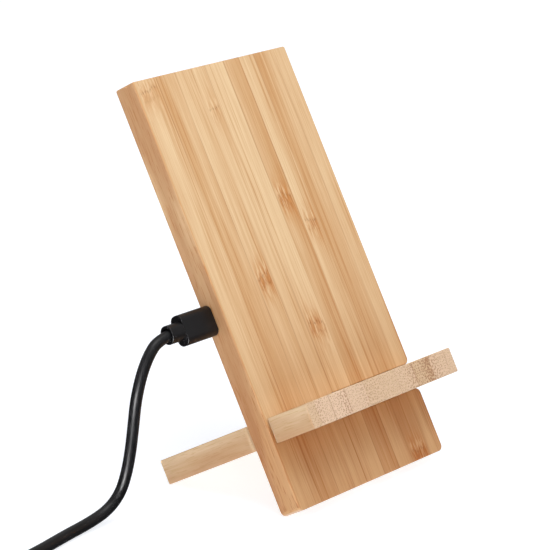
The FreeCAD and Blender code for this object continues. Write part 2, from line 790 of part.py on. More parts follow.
def rounded_bar(name, width, thick, start, length, corner, end_round):
    """A bar along -X with rounded long edges and eased ends, centred on the socket's axis."""
    body = new_body(name)
    sketch = sketch_on(body, name + "_section", "YZ_Plane", start)
    middle = size("socket_height")
    draw_outline(sketch, rectangle(middle - width / 2, middle + width / 2,
                                   SOCKET_AXIS - thick / 2, SOCKET_AXIS + thick / 2))
    pad(body, name + "_bar", sketch, length, backwards=True)
    fillet(body, name + "_sides", corner, lambda edge: runs_along(edge, X_AXIS))
    ends = (start.number, (start - length).number)
    fillet(body, name + "_ends", as_size(end_round),
           lambda edge: lies_in(edge, 0, ends[0]) or lies_in(edge, 0, ends[1]))
    return body


def plug():
    """Moulded boot and open-ended neck of the cable, with the hollow steel plug in the socket."""
    boot = rounded_bar("boot_blank", size("boot_width"), size("boot_thick"), BOOT_FACE,
                       size("boot_length"), size("boot_round"), BOOT_END_ROUND)
    finish_node(boot, "plug_boot", BOARD)
    neck = rounded_bar("neck_blank", size("neck_width"), size("neck_thick"), BOOT_END,
                       size("neck_length"), size("neck_thick") / 2 - NECK_FLAT / 2, NECK_END_ROUND)
    bore = DOC.addObject("Part::Cylinder", "neck_bore_tool")
    bore.Placement = Placement(Vector(), Rotation(Y_AXIS, 90))
    bind(bore, "Radius", size("neck_bore"))
    bind(bore, "Height", size("neck_bore_depth") + 1)
    for axis, value in zip("xyz", (NECK_END - 1, size("socket_height"), SOCKET_AXIS)):
        bind(bore, "Placement.Base." + axis, value)
    finish_node(cut("neck_cut", neck, bore), "plug_neck", BOARD)

    tip = BOOT_FACE + size("plug_length")
    wall = size("plug_wall")
    width = size("plug_width")
    thick = size("plug_thick")
    outer = micro_block("plug_outside", width, thick, BOOT_FACE, tip, PLUG_SHOULDER)
    inner = micro_block("plug_inside", width - wall * 2, thick - wall * 2, BOOT_FACE - CUT_OVER,
                        tip + CUT_OVER, PLUG_SHOULDER)
    finish_node(cut("plug_cut", outer, inner), "plug_shell", BOARD)
    blade_start = BOOT_FACE + PLUG_BACKING_LENGTH
    backing = micro_block("plug_backing", width - wall * 2, thick - wall * 2, BOOT_FACE, blade_start,
                          PLUG_SHOULDER)
    middle = size("socket_height")
    floor = SOCKET_AXIS - thick / 2 + wall
    top = floor + PLUG_BLADE_THICKNESS
    blade = box("plug_blade", (blade_start, middle - PLUG_BLADE_HALF_WIDTH, floor),
                (tip - PLUG_BLADE_SETBACK, middle + PLUG_BLADE_HALF_WIDTH, top))
    finish_node(fuse("plug_insulator", [backing, blade]), "plug_insert", BOARD)
    contacts = contact_row("plug_contact", blade_start, tip - PLUG_CONTACT_SETBACK, top,
                           top + PLUG_CONTACT_THICKNESS, PLUG_CONTACT_HALF_WIDTH)
    finish_node(contacts, "plug_contacts", BOARD)


# ---------------------------------------------------------------- the cable's route and its other end

# Points of the cable's route after the plug, chosen by hand, millimetres in the part's frame.
CORD_ROUTE = [
    (-67.8, 1.8, 62.6),
    (-71.4, 1.8, 60.3),
    (-73.9, 1.9, 56.4),
    (-76.3, 2.1, 51.5),
    (-77.9, 2.9, 43.8),
    (-77.0, 4.9, 34.8),
    (-75.8, 7.3, 25.6),
    (-75.4, 9.7, 16.6),
    (-77.0, 11.3, 9.4),
    (-81.9, 12.6, 4.5),
    (-90.8, 12.9, 2.5),
    (-103.5, 11.8, 2.05),
    (-117.5, 9.2, 2.05),
    (-127.5, 7.9, 2.05),
    (-137.5, 7.9, 2.2),
    (-148.0, 10.2, 2.5),
]
CORD_TAIL = [
    (-158.0, 10.5, 6.4),
    (-167.0, 10.9, 6.1),
    (-177.0, 10.6, 4.5),
    (-185.0, 10.8, 4.1),
]
# The coil is two flat spirals, one on the other: inwards below, then outwards above.
COIL_CENTRE = Vector(-153.0, 37.4, 0.0)
COIL_MEAN_RADIUS = 21.0
COIL_TURN_SPACING = 4.1
TURNS_PER_LAYER = 3
COIL_LAYERS = 2
COIL_CORNER_SHARE = 0.4    # rounding of the coil's section, as a share of the cord's diameter
TIE_THICKNESS = 0.5
TIE_WIDTH = 7.0
TIE_BEARING = 60.0


def as_vectors(points):
    return [Vector(*point) for point in points]


def revolved_section(inner, outer, low, high, corner, angle=360.0):
    """A ring of rounded-rectangular section about the coil's upright axis."""
    blank = Part.makeBox(outer - inner, 1, high - low, Vector(inner, 0, low))
    face = [item for item in blank.Faces if abs(item.CenterOfMass.y) < 1e-6][0]
    solid = face.revolve(Vector(), Z_AXIS, angle)
    if corner <= 0:
        return solid
    rims = [edge for edge in solid.Edges if isinstance(edge.Curve, Part.Circle)]
    return solid.makeFillet(corner, rims)


def cord():
    """The laid-out cable, its put-away coil and tie, and the short tail to the other plug."""
    diameter = size("cord_diameter").number
    exit_point = BOARD.multVec(Vector((NECK_END + size("neck_bore_depth")).number,
                                      size("socket_height").number, SOCKET_AXIS.number))
    print("cord exit", [round(value, 3) for value in exit_point])
    main, main_length = tube("charging_cord", [exit_point] + as_vectors(CORD_ROUTE), diameter)
    finish_node(main, "charging_cord", Placement())
    tail, tail_length = tube("cord_tail", as_vectors(CORD_TAIL), diameter)
    finish_node(tail, "cord_tail", Placement())

    half_band = COIL_TURN_SPACING * TURNS_PER_LAYER / 2 + diameter / 2
    inner = COIL_MEAN_RADIUS - half_band
    outer = COIL_MEAN_RADIUS + half_band
    low = TIE_THICKNESS
    high = low + diameter * COIL_LAYERS
    coil = DOC.addObject("Part::Feature", "cord_coil")
    coil.Shape = revolved_section(inner, outer, low, high, diameter * COIL_CORNER_SHARE)
    finish_node(coil, "cord_coil", Placement(COIL_CENTRE, Rotation()))
    coil_length = 2 * math.pi * COIL_MEAN_RADIUS * TURNS_PER_LAYER * COIL_LAYERS
    print(f"coil holds {coil_length:.0f} mm, whole cord {coil_length + main_length + tail_length:.0f} mm")

    spread = math.degrees(TIE_WIDTH / COIL_MEAN_RADIUS)
    band = TIE_THICKNESS
    loop = revolved_section(inner - band, outer + band, low - band, high + band, 0.0, spread)
    hollow = revolved_section(inner, outer, low, high, 0.0, spread)
    tie = DOC.addObject("Part::Feature", "cord_tie")
    tie.Shape = loop.cut(hollow)
    finish_node(tie, "cord_tie", Placement(COIL_CENTRE, Rotation(Z_AXIS, TIE_BEARING)))


USB_START = Vector(*CORD_TAIL[-1])
# The latch windows in the shell, from the boot's end, and the four contacts.
WINDOW_OFFSET = 2.9
WINDOW_HALF_WIDTH = 1.25
WINDOW_START = 5.5
WINDOW_END = 7.8
USB_CONTACT_PLACES = (-3.5, -1.0, 1.0, 3.5)
USB_CONTACT_HALF_WIDTH = 0.5
USB_CONTACT_SETBACK = 1.4
USB_CONTACT_START = 1.0
USB_CONTACT_THICKNESS = 0.15


def usb_bar(name, width, thick, start, end, corner):
    """A flat bar along -X from the tail's end, rounded along its long edges."""
    block = box(name + "_block", (-as_size(end), -as_size(width) / 2, -as_size(thick) / 2),
                (-as_size(start), as_size(width) / 2, as_size(thick) / 2))
    return rounded(name, block, corner, X_AXIS)


def usb_a_plug():
    """The cable's other end: neck, moulded boot, steel shell, insulator and four contacts."""
    here = Placement(USB_START, Rotation())
    neck = DOC.addObject("Part::Cone", "usb_neck_cone")
    neck.Placement = Placement(Vector(), Rotation(Y_AXIS, -90))
    bind(neck, "Radius1", size("usb_neck_tip_radius"))
    bind(neck, "Radius2", size("usb_neck_radius"))
    bind(neck, "Height", size("usb_neck_length"))
    finish_node(group("usb_neck_group", [neck]), "usb_a_neck", here)
    boot_start = size("usb_neck_length")
    boot_end = boot_start + size("usb_boot_length")
    boot = usb_bar("usb_boot", size("usb_boot_width"), size("usb_boot_thick"), boot_start, boot_end,
                   size("usb_boot_round"))
    finish_node(group("usb_boot_group", [boot]), "usb_a_boot", here)
    shell_end = boot_end + size("usb_shell_length")
    wall = size("usb_shell_wall")
    width = size("usb_shell_width")
    thick = size("usb_shell_thick")
    outer = usb_bar("usb_shell_outside", width, thick, boot_end, shell_end, size("usb_shell_round"))
    inner = usb_bar("usb_shell_inside", width - wall * 2, thick - wall * 2, boot_end - CUT_OVER,
                    shell_end + CUT_OVER, size("usb_shell_inner_round"))
    windows = []
    for index, middle in enumerate((-WINDOW_OFFSET, WINDOW_OFFSET)):
        windows.append(box(f"usb_window_{index}",
                           (-boot_end - WINDOW_END, middle - WINDOW_HALF_WIDTH, -thick),
                           (-boot_end - WINDOW_START, middle + WINDOW_HALF_WIDTH, thick)))
    openings = fuse("usb_shell_openings", [inner] + windows)
    finish_node(cut("usb_shell_cut", outer, openings), "usb_a_shell", here)
    half = width / 2 - wall - size("usb_tongue_clear")
    low = wall - thick / 2
    tongue = box("usb_tongue_block", (-(shell_end - size("usb_tongue_recess")), -half, low),
                 (-boot_end, half, low + size("usb_tongue_thick")))
    finish_node(group("usb_tongue_group", [tongue]), "usb_a_insert", here)
    top = low + size("usb_tongue_thick")
    contacts = []
    for index, across in enumerate(USB_CONTACT_PLACES):
        contacts.append(box(f"usb_contact_{index}",
                            (-(shell_end - USB_CONTACT_SETBACK), across - USB_CONTACT_HALF_WIDTH, top),
                            (-(boot_end + USB_CONTACT_START), across + USB_CONTACT_HALF_WIDTH,
                             top + USB_CONTACT_THICKNESS)))
    finish_node(group("usb_contact_row", contacts), "usb_a_contacts", here)


# ---------------------------------------------------------------- build, check and write

def check_document():
    """Every object recomputed without error, every sub-part a valid closed shape."""
    DOC.recompute()
    for obj in DOC.Objects:
        if "Invalid" in obj.State or "Error" in obj.State:
            raise RuntimeError(f"{obj.Name} failed: {obj.State}")
    for node in NODES:
        shape = node.Shape
        if shape.isNull() or not shape.isValid() or not shape.Solids:
            raise RuntimeError(f"{node.Label} has no valid solid")


def write_parts():
    os.makedirs("parts", exist_ok=True)
    for node in NODES:
        node.Shape.exportStep(f"parts/{node.Label}.step")
        box_size = node.Shape.BoundBox
        print(f"{node.Label}: {len(node.Shape.Solids)} solid, {node.Shape.Volume:.1f} mm3, "
              f"x {box_size.XMin:.1f}..{box_size.XMax:.1f} y {box_size.YMin:.1f}..{box_size.YMax:.1f} "
              f"z {box_size.ZMin:.2f}..{box_size.ZMax:.2f}")


charging_panel()
shelf_plate()
rear_cover()
cover_screws()
coil_stack()
coil_leads()
circuit_board()
board_components()
usb_socket()
plug()
cord()
usb_a_plug()
check_document()
write_parts()
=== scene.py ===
"""Looks of a bamboo wireless charging stand with its cable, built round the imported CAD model.

Places are metres in the model's own frame. Wood grain is drawn in millimetres along the boards.
"""
import json
import math

import bpy
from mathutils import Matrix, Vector


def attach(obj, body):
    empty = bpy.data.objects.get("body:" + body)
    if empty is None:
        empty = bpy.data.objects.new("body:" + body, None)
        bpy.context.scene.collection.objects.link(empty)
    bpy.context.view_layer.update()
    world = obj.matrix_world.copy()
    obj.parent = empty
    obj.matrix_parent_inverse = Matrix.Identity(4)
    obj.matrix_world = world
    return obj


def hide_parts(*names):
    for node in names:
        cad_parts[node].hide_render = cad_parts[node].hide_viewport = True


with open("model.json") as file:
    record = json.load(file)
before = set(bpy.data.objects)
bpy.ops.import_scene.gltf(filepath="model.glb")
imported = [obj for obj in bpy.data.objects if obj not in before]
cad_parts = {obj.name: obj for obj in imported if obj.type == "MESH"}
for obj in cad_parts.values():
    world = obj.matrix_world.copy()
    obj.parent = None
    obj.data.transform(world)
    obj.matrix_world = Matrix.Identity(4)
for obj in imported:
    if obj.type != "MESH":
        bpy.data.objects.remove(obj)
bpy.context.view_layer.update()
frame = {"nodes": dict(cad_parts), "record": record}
NODES = frame["nodes"]
MOUNTS = {mount["name"]: mount for mount in frame["record"]["mounts"]}
MM = 0.001
IN_MILLIMETRES = (1 / MM,) * 3     # scale of a place that is read in metres


# ---------------------------------------------------------------- the boards' own directions

# The charging face looks along OUTWARD; UPWARD climbs the leaning board from its foot.
OUTWARD = Vector(MOUNTS["charging_face"]["axis"])
UPWARD = Vector((0.0, OUTWARD.z, -OUTWARD.y))
LEAN = math.asin(UPWARD.y)
FACE_POINT = Vector(MOUNTS["charging_face"]["pos_m"])
FACE_DISTANCE = FACE_POINT.dot(OUTWARD)
FACE_POINT_HEIGHT = 100 * MM       # along the board, from its foot to the mount
FOOT_HEIGHT = FACE_POINT.dot(UPWARD) - FACE_POINT_HEIGHT


# ---------------------------------------------------------------- nodes of a material

class Recipe:
    """One material. A number fills a node's own input, and a socket is linked to it."""

    def __init__(self, name):
        self.material = bpy.data.materials.new(name)
        self.material.use_nodes = True
        self.tree = self.material.node_tree
        self.surface = self.tree.nodes["Principled BSDF"]

    def feed(self, socket, value):
        if isinstance(value, bpy.types.NodeSocket):
            self.tree.links.new(value, socket)
        else:
            socket.default_value = value

    def add(self, kind, inputs=None, **settings):
        node = self.tree.nodes.new(kind)
        for name, value in settings.items():
            setattr(node, name, value)
        for name, value in (inputs or {}).items():
            self.feed(node.inputs[name], value)
        return node

    def math(self, operation, *values):
        node = self.add("ShaderNodeMath", operation=operation)
        for socket, value in zip(node.inputs, values):
            self.feed(socket, value)
        return node.outputs[0]

    def product(self, *values):
        result = values[0]
        for value in values[1:]:
            result = self.math("MULTIPLY", result, value)
        return result

    def total(self, *values):
        result = values[0]
        for value in values[1:]:
            result = self.math("ADD", result, value)
        return result

    def fade(self, value, start, end, low=0.0, high=1.0):
        """From low at start to high at end, smoothly, and flat beyond."""
        node = self.add("ShaderNodeMapRange", {"Value": value, "From Min": start, "From Max": end,
                                               "To Min": low, "To Max": high})
        node.interpolation_type = "SMOOTHSTEP"
        return node.outputs["Result"]

    def bell(self, value, width):
        """1 where value is 0, falling to about a third at width either side."""
        share = self.math("DIVIDE", value, width)
        return self.math("EXPONENT", self.math("MULTIPLY", self.math("MULTIPLY", share, share), -1.0))

    def vector(self, x, y, z):
        return self.add("ShaderNodeCombineXYZ", {"X": x, "Y": y, "Z": z}).outputs[0]

    def noise(self, vector, scale=1.0, detail=2.0, roughness=0.5):
        """Smooth noise about 0.5."""
        node = self.add("ShaderNodeTexNoise", {"Vector": vector, "Scale": scale, "Detail": detail,
                                               "Roughness": roughness})
        return node.outputs["Fac"]

    def mix(self, first, second, share, blend="MIX"):
        node = self.add("ShaderNodeMix", data_type="RGBA", blend_type=blend)
        self.feed(node.inputs[0], share)
        self.feed(node.inputs[6], first)
        self.feed(node.inputs[7], second)
        return node.outputs[2]

    def place(self):
        """Where the surface point is in the model at rest, in millimetres."""
        source = self.add("ShaderNodeTexCoord").outputs["Object"]
        return self.add("ShaderNodeMapping", {"Vector": source, "Scale": IN_MILLIMETRES}).outputs[0]

    def bump(self, height, depth):
        """Relief from a height between 0 and 1, depth in metres."""
        node = self.add("ShaderNodeBump", {"Height": height, "Distance": depth, "Strength": 1.0})
        self.feed(self.surface.inputs["Normal"], node.outputs[0])

    def finish(self, **inputs):
        """Fill the surface's inputs, whose names are written with underscores here."""
        for name, value in inputs.items():
            self.feed(self.surface.inputs[name.replace("_", " ")], value)
        return self.material


def rgb(red, green, blue):
    """A colour given as sRGB bytes, for the shader."""
    linear = []
    for byte in (red, green, blue):
        share = byte / 255
        linear.append(share / 12.92 if share <= 0.04045 else ((share + 0.055) / 1.055) ** 2.4)
    return (*linear, 1.0)


# ---------------------------------------------------------------- bamboo

# Glued strips from left to right: right edge across the board (mm), tone from -1 dark to 1 light, place
# of the node along the grain (mm) or None, how scorched that node is, and how dense and dark the dots
# of the end grain are. The last right edge is half a millimetre past the board's own.
PANEL_STRIPS = [
    (-29.0, 0.45, 151.5, 0.4, 0.5),
    (-19.3, -0.35, None, 0.0, 0.6),
    (-10.7, 0.25, 79.5, 0.95, 0.5),
    (-3.5, 0.45, 141.0, 0.3, 0.5),
    (6.5, 0.8, 58.0, 0.75, 0.4),
    (15.0, -0.45, 104.0, 1.0, 0.7),
    (23.1, 0.3, 93.0, 0.6, 0.5),
    (33.4, -0.5, 3.5, 1.0, 0.7),
    (41.5, 0.35, None, 0.0, 0.5),
]
SHELF_STRIPS = [
    (-36.5, -0.4, None, 0.0, 0.35),
    (-29.0, 0.5, None, 0.0, 0.45),
    (-20.0, 0.7, None, 0.0, 0.6),
    (-10.0, 0.4, 32.0, 0.8, 0.4),
    (8.2, -0.2, None, 0.0, 0.4),
    (17.8, 0.0, 12.0, 0.6, 0.55),
    (27.6, -0.8, None, 0.0, 1.0),
    (36.6, 0.2, 44.0, 0.8, 0.6),
    (41.5, 0.1, None, 0.0, 0.3),
]
NO_NODE = -900.0           # far off the board, for a strip with no node
LEFT_EDGE = -41.0
STRIP_SEED = 7.3           # sets the strips' grain apart
GRAIN_DEPTH = 0.06 * MM

NODE_CORE = rgb(190, 118, 58)
NODE_RIM = rgb(240, 210, 166)
NODE_RIDGE = rgb(150, 90, 48)
GLUE_LINE = rgb(176, 112, 62)
END_GROUND_DARK = rgb(210, 177, 138)
END_GROUND_LIGHT = rgb(237, 206, 180)
END_DOT = rgb(162, 112, 78)
END_GLUE_LINE = rgb(160, 104, 70)


def bamboo(name, strips, grain_along_face, light, dark, ember, painted_shade, painted_shade_places):
    """Edge-glued bamboo. The grain runs up the leaning board, or square to it in the shelf.

    The second-to-last argument is the colour of a painted shade that multiplies the board's colour,
    with how much of it goes on the sides. The last says where along the grain the painted shade on the
    face starts, where it is full, and how strong it is.
    """
    recipe = Recipe(name)
    source = recipe.add("ShaderNodeTexCoord")
    offset = (0, FACE_DISTANCE / MM, -FOOT_HEIGHT / MM)
    placed = recipe.add("ShaderNodeMapping", {"Vector": source.outputs["Object"], "Location": offset,
                                              "Rotation": (LEAN, 0, 0), "Scale": IN_MILLIMETRES})
    facing = recipe.add("ShaderNodeMapping", {"Vector": source.outputs["Normal"],
                                              "Rotation": (LEAN, 0, 0)}, vector_type="NORMAL")
    across, behind, height = recipe.add("ShaderNodeSeparateXYZ", {"Vector": placed.outputs[0]}).outputs
    sideways, backwards, upwards = recipe.add("ShaderNodeSeparateXYZ",
                                              {"Vector": facing.outputs[0]}).outputs
    along, through = (height, behind) if grain_along_face else (behind, height)
    end_normal = upwards if grain_along_face else backwards
    is_end = recipe.fade(recipe.math("ABSOLUTE", end_normal), 0.6, 0.85)
    is_side = recipe.fade(recipe.math("ABSOLUTE", sideways), 0.5, 0.9)

    # which strip this is, as numbers that jump at each slightly wavering glue line
    waver = recipe.noise(recipe.vector(across, recipe.product(along, 0.02), 0.0), 0.2)
    where = recipe.math("MULTIPLY_ADD", waver, 0.8, recipe.math("SUBTRACT", across, 0.4))
    edges = [strip[0] for strip in strips[:-1]]
    steps = [recipe.math("GREATER_THAN", where, edge) for edge in edges]

    def by_strip(values):
        result = values[0]
        for step, value, previous in zip(steps, values[1:], values):
            result = recipe.math("MULTIPLY_ADD", step, value - previous, result)
        return result

    lefts = [LEFT_EDGE] + edges
    left = by_strip(lefts)
    width = by_strip([strip[0] - start for strip, start in zip(strips, lefts)])
    share = recipe.math("DIVIDE", recipe.math("SUBTRACT", where, left), width)
    seed = by_strip([index * STRIP_SEED for index in range(len(strips))])
    tone = by_strip([strip[1] for strip in strips])
    node_place = by_strip([NO_NODE if strip[2] is None else strip[2] for strip in strips])
    heat = by_strip([strip[3] for strip in strips])
    dots = by_strip([strip[4] for strip in strips])
    skin_side = by_strip([float(index % 3 != 1) for index in range(len(strips))])
    from_skin = recipe.math("ABSOLUTE", recipe.math("SUBTRACT", skin_side, share))

    def streaks(fineness, length, depth, detail, shift=0.0):
        """Noise drawn out along the grain: fineness across and depth through, per millimetre."""
        place = recipe.vector(recipe.product(shifted, fineness),
                              recipe.math("MULTIPLY_ADD", along, 1 / length, shift),
                              recipe.product(through, depth))
        return recipe.noise(place, 1.0, detail)

    # fibres: long streaks, finer and denser towards the skin side of a strip
    shifted = recipe.total(across, seed)
    fine = streaks(3.1, 24.0, 1.3, 3.0)
    threads = streaks(1.25, 60.0, 0.35, 2.0)
    drift = streaks(0.26, 80.0, 0.08, 2.0)
    pores = recipe.fade(streaks(2.6, 6.5, 3.2, 1.0), 0.58, 0.7)
    density = recipe.fade(from_skin, 0.75, 0.0)
    lines = recipe.product(recipe.fade(threads, 0.52, 0.66), density)

    # nodes: a curved ridge across the strip, with feathered ember-coloured streaks about it
    bend = recipe.noise(recipe.vector(recipe.product(shifted, 0.17), 0.0, seed), 1.0, 1.0)
    jitter = recipe.noise(recipe.vector(recipe.product(shifted, 1.1), 0.0, seed), 1.0, 2.0)
    off_middle = recipe.math("SUBTRACT", share, 0.5)
    from_node = recipe.total(recipe.math("SUBTRACT", along, node_place),
                             recipe.math("MULTIPLY_ADD", bend, 9.0, -4.5),
                             recipe.product(off_middle, off_middle, 1.5),
                             recipe.math("MULTIPLY_ADD", jitter, 2.4, -1.2))
    feathers = streaks(1.0, 9.0, 0.5, 3.0, 11.0)
    flakes = streaks(1.7, 3.6, 0.8, 2.0, 5.0)
    inside = recipe.product(recipe.fade(share, 0.02, 0.2), recipe.fade(share, 0.98, 0.8))
    scorch = recipe.product(recipe.bell(recipe.math("ADD", from_node, 1.5), 7.5),
                            recipe.fade(feathers, 0.4, 0.56), inside, heat)
    core = recipe.product(recipe.bell(recipe.math("ADD", from_node, 1.2), 4.2),
                          recipe.fade(flakes, 0.44, 0.6), inside, heat)
    ridge = recipe.product(recipe.bell(from_node, 0.45), recipe.fade(flakes, 0.44, 0.58), inside)
    lower_ridge = recipe.product(recipe.bell(recipe.math("ADD", from_node, 3.4), 0.45),
                                 recipe.fade(feathers, 0.48, 0.58), inside, heat)
    ridge = recipe.math("MAXIMUM", ridge, recipe.product(lower_ridge, 0.7))
    pale_rim = recipe.product(recipe.bell(recipe.math("SUBTRACT", from_node, 2.0), 1.6),
                              recipe.fade(feathers, 0.56, 0.42), inside)

    # glue lines: soft and brown, stronger on some stretches
    from_edge = recipe.math("MINIMUM", share, recipe.math("SUBTRACT", 1.0, share))
    from_edge = recipe.product(from_edge, width)
    glue = recipe.product(recipe.bell(from_edge, 0.26), recipe.fade(drift, 0.4, 0.62, 0.1, 1.0))

    shade = recipe.total(0.42, recipe.product(tone, -0.32),
                         recipe.product(recipe.math("SUBTRACT", fine, 0.5), 0.85),
                         recipe.product(recipe.math("SUBTRACT", threads, 0.5), 0.7),
                         recipe.product(recipe.math("SUBTRACT", drift, 0.5), 0.7),
                         recipe.product(density, 0.2), recipe.product(lines, 0.5),
                         recipe.product(pores, recipe.math("MULTIPLY_ADD", is_side, 0.8, 0.08)))
    shade = recipe.math("MINIMUM", recipe.math("MAXIMUM", shade, 0.0), 1.35)
    wood = recipe.mix(light, dark, shade)
    wood = recipe.mix(wood, ember, recipe.product(scorch, 0.9))
    wood = recipe.mix(wood, NODE_CORE, recipe.product(core, 0.8))
    wood = recipe.mix(wood, NODE_RIM, recipe.product(pale_rim, 0.55))
    wood = recipe.mix(wood, NODE_RIDGE, recipe.product(ridge, 0.42))
    wood = recipe.mix(wood, GLUE_LINE, recipe.product(glue, 0.5))

    # a browner line along the face's left edge
    rubbed = recipe.product(recipe.fade(recipe.math("MULTIPLY", across, -1.0), 39.9, 40.8),
                            recipe.math("SUBTRACT", 1.0, is_side))
    wood = recipe.mix(wood, ember, recipe.product(rubbed, 0.55))

    # painted shade: the shelf's shadow on the face, full just below end and less at the foot, with a
    # faint part that fades out above start, and painted shade on the dimmer sides, strongest below end
    start, end, strength = painted_shade_places
    side_share = painted_shade[3]
    below = recipe.product(recipe.fade(along, start, end),
                           recipe.fade(along, end - 22, end - 3, 0.7, 1.0))
    above = recipe.fade(along, start + 75, start, 0.0, 0.25)
    stretch = recipe.product(recipe.math("MAXIMUM", below, above), strength)
    flank = recipe.product(is_side, recipe.fade(along, end, end + 35, side_share, side_share * 0.25))
    painted_shade_share = recipe.mix(stretch, flank, is_side)
    wood = recipe.mix(wood, (*painted_shade[:3], 1.0), painted_shade_share, "MULTIPLY")

    # end grain: dots of the bundles, denser towards the skin side, on a paler pinkish ground
    bundles = recipe.vector(recipe.math("MULTIPLY_ADD", across, 1.1, seed),
                            recipe.product(through, 0.95), 0.0)
    spots = recipe.add("ShaderNodeTexVoronoi", {"Vector": bundles, "Scale": 1.12, "Randomness": 0.85},
                       voronoi_dimensions="2D")
    grit = recipe.noise(recipe.vector(across, through, seed), 1.6, 3.0)
    size = recipe.total(recipe.product(dots, 0.1), recipe.product(density, dots, 0.26),
                        recipe.product(grit, 0.3))
    dot = recipe.fade(recipe.math("DIVIDE", spots.outputs["Distance"], size), 1.5, 0.5)
    ground = recipe.mix(END_GROUND_DARK, END_GROUND_LIGHT,
                        recipe.total(recipe.product(tone, 0.35), recipe.product(grit, 1.0), -0.05))
    spot = recipe.product(dot, recipe.fade(dots, 0.2, 1.0, 0.5, 0.85))
    ends = recipe.mix(ground, END_DOT, spot)
    ends = recipe.mix(ends, END_GLUE_LINE,
                      recipe.product(glue, recipe.fade(dots, 0.3, 1.0, 0.35, 0.9)))
    colour = recipe.mix(wood, ends, is_end)

    rough = recipe.total(0.5, recipe.product(fine, 0.16), recipe.product(is_end, 0.12))
    relief = recipe.total(recipe.product(fine, 0.6), recipe.product(lines, -0.5),
                          recipe.product(glue, -0.6), recipe.product(ridge, -0.15),
                          recipe.product(dot, is_end, -0.7))
    recipe.bump(relief, GRAIN_DEPTH)
    return recipe.finish(Base_Color=colour, Roughness=rough, Specular_IOR_Level=0.3)


# ---------------------------------------------------------------- other materials

def moulded(name, colour, roughness, grain=3.0, depth=0.02, gloss=0.5):
    """Moulded plastic or rubber with fine pores, depth in millimetres, and faint paler patches."""
    recipe = Recipe(name)
    place = recipe.place()
    pores = recipe.noise(place, grain, 3.0, 0.6)
    patches = recipe.noise(place, 0.12, 2.0)
    tint = recipe.mix(colour, tuple(min(1.0, channel * 1.5) for channel in colour[:3]) + (1.0,),
                      recipe.fade(patches, 0.3, 0.75))
    recipe.bump(pores, depth * MM)
    rough = recipe.math("MULTIPLY_ADD", patches, 0.16, roughness - 0.08)
    return recipe.finish(Base_Color=tint, Roughness=rough, Specular_IOR_Level=gloss)


def metal(name, colour, roughness, drawn=(1.0, 1.0, 1.0)):
    """Metal with fine marks, which drawn stretches along one direction."""
    recipe = Recipe(name)
    place = recipe.place()
    marks = recipe.noise(recipe.add("ShaderNodeMapping", {"Vector": place, "Scale": drawn}).outputs[0],
                         2.0, 3.0, 0.6)
    stain = recipe.noise(place, 0.35, 2.0)
    worn = tuple(channel * 0.72 for channel in colour[:3]) + (1.0,)
    recipe.bump(marks, 0.01 * MM)
    rough = recipe.math("MULTIPLY_ADD", marks, 0.22, roughness - 0.1)
    return recipe.finish(Base_Color=recipe.mix(colour, worn, recipe.fade(stain, 0.35, 0.8)),
                         Roughness=rough, Metallic=1.0)


def paint(node, material):
    """Give a CAD node its material."""
    for holder in NODES[node].material_slots:
        holder.material = material


# Shade is painted on the leaning board: the shelf's shadow below the shelf, and darker sides. The
# shelf's faces get none, its sides a faint one.
paint("charging_panel", bamboo("bamboo_up", PANEL_STRIPS, True, light=rgb(241, 210, 166),
                               dark=rgb(206, 152, 98), ember=rgb(206, 140, 78),
                               painted_shade=(0.72, 0.51, 0.36, 0.74), painted_shade_places=(34.5, 27.0, 1.0)))
paint("shelf_plate", bamboo("bamboo_out", SHELF_STRIPS, False, light=rgb(240, 215, 180),
                            dark=rgb(209, 176, 132), ember=rgb(190, 134, 84),
                            painted_shade=(1.0, 0.98, 0.97, 1.0), painted_shade_places=(90.0, 100.0, 0.0)))

BLACK_MOULDING = moulded("black_moulding", rgb(15, 14, 16), 0.36, 2.5, 0.012, 0.3)
for node in ("plug_boot", "plug_neck", "usb_a_neck", "usb_a_boot"):
    paint(node, BLACK_MOULDING)
paint("rear_cover", moulded("cover_black", rgb(34, 34, 35), 0.55, 1.6, 0.03))
INSERT_BLACK = moulded("insert_black", rgb(26, 26, 27), 0.5)
for node in ("socket_tongue", "plug_insert"):
    paint(node, INSERT_BLACK)
paint("usb_a_insert", moulded("insert_white", rgb(232, 231, 226), 0.4))
paint("foam_pad", moulded("black_foam", rgb(38, 38, 40), 0.95, 1.2, 0.2))
paint("ferrite_shield", moulded("sintered_ferrite", rgb(52, 52, 55), 0.75, 4.0, 0.03))
FILM = moulded("adhesive_film", rgb(222, 220, 206), 0.3, 0.8, 0.01)
for node in ("coil_adhesive", "board_tape"):
    paint(node, FILM)
paint("coil_leads", moulded("lead_sleeve", rgb(150, 28, 22), 0.4))
paint("circuit_board", moulded("solder_mask", rgb(18, 86, 46), 0.35, 0.5, 0.02))
CHIP = moulded("chip_epoxy", rgb(28, 28, 29), 0.6)
for node in ("controller_chip", "power_transistors"):
    paint(node, CHIP)
CERAMIC = moulded("capacitor_ceramic", rgb(176, 142, 108), 0.35)
for node in ("resonant_capacitors", "bypass_capacitors"):
    paint(node, CERAMIC)
paint("chip_resistors", moulded("resistor_coat", rgb(30, 30, 34), 0.3))
paint("filter_inductor", moulded("pressed_powder", rgb(84, 82, 80), 0.7, 4.0, 0.03))
paint("status_led", moulded("led_lens", rgb(238, 232, 190), 0.15))
NICKEL = metal("nickel_steel", rgb(200, 198, 194), 0.28, (0.15, 2.0, 2.0))
for node in ("socket_shell", "plug_shell", "usb_a_shell"):
    paint(node, NICKEL)
paint("cover_screws", metal("black_zinc", rgb(96, 96, 100), 0.38))
GOLD = metal("contact_gold", rgb(226, 178, 92), 0.25, (0.2, 2.0, 2.0))
for node in ("socket_contacts", "plug_contacts", "usb_a_contacts"):
    paint(node, GOLD)
paint("transmit_coil", metal("enamelled_copper", rgb(204, 116, 66), 0.3))
paint("cord_tie", moulded("tie_band", rgb(34, 34, 36), 0.7, 3.0, 0.05))


# ---------------------------------------------------------------- the cable

CORD_DIAMETER = 4.0 * MM
